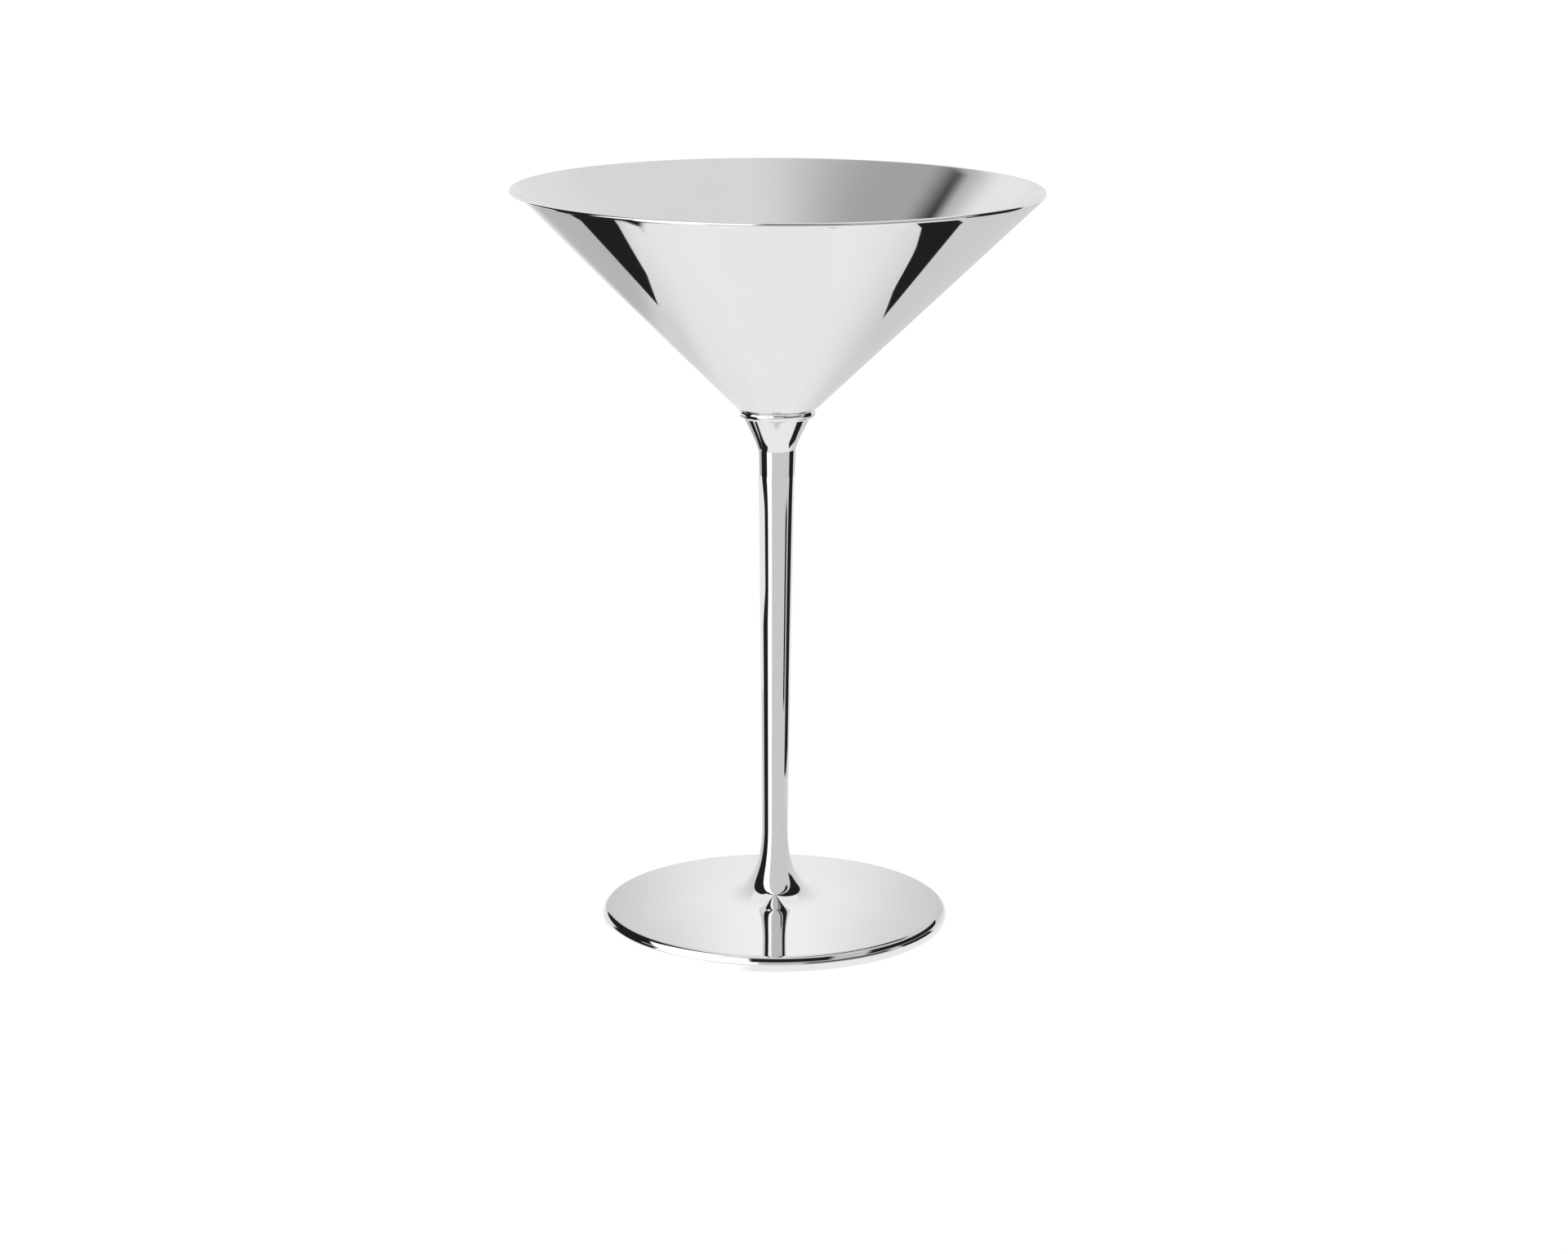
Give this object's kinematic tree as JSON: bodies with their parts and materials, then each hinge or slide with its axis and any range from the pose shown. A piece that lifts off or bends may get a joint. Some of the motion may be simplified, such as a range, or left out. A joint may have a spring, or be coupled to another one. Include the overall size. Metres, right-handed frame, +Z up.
{
  "type": "martini cup",
  "caption": "Polished silver-plated metal cocktail cup: conical bowl, small collar, slender tapered stem and flat disc foot with a beaded edge.",
  "frame": {"origin": "centre of the plane that the foot stands on", "axes": "+Z up the axis of the stem and bowl, from the foot to the rim; the cup is round about it, and +X is any side"},
  "size_m": [0.115, 0.115, 0.1638],
  "materials": {
    "polished_silver": "mirror-polished silver plate",
    "brass": "plain turned",
    "steel": "plain turned"
  },
  "bodies": {
    "root": {"bowl": "polished_silver", "bowl_stud": "brass", "collar": "polished_silver", "stem": "polished_silver", "foot": "polished_silver", "foot_edge_wire": "polished_silver", "foot_washer": "steel", "foot_screw": "steel"}
  },
  "joints": []
}
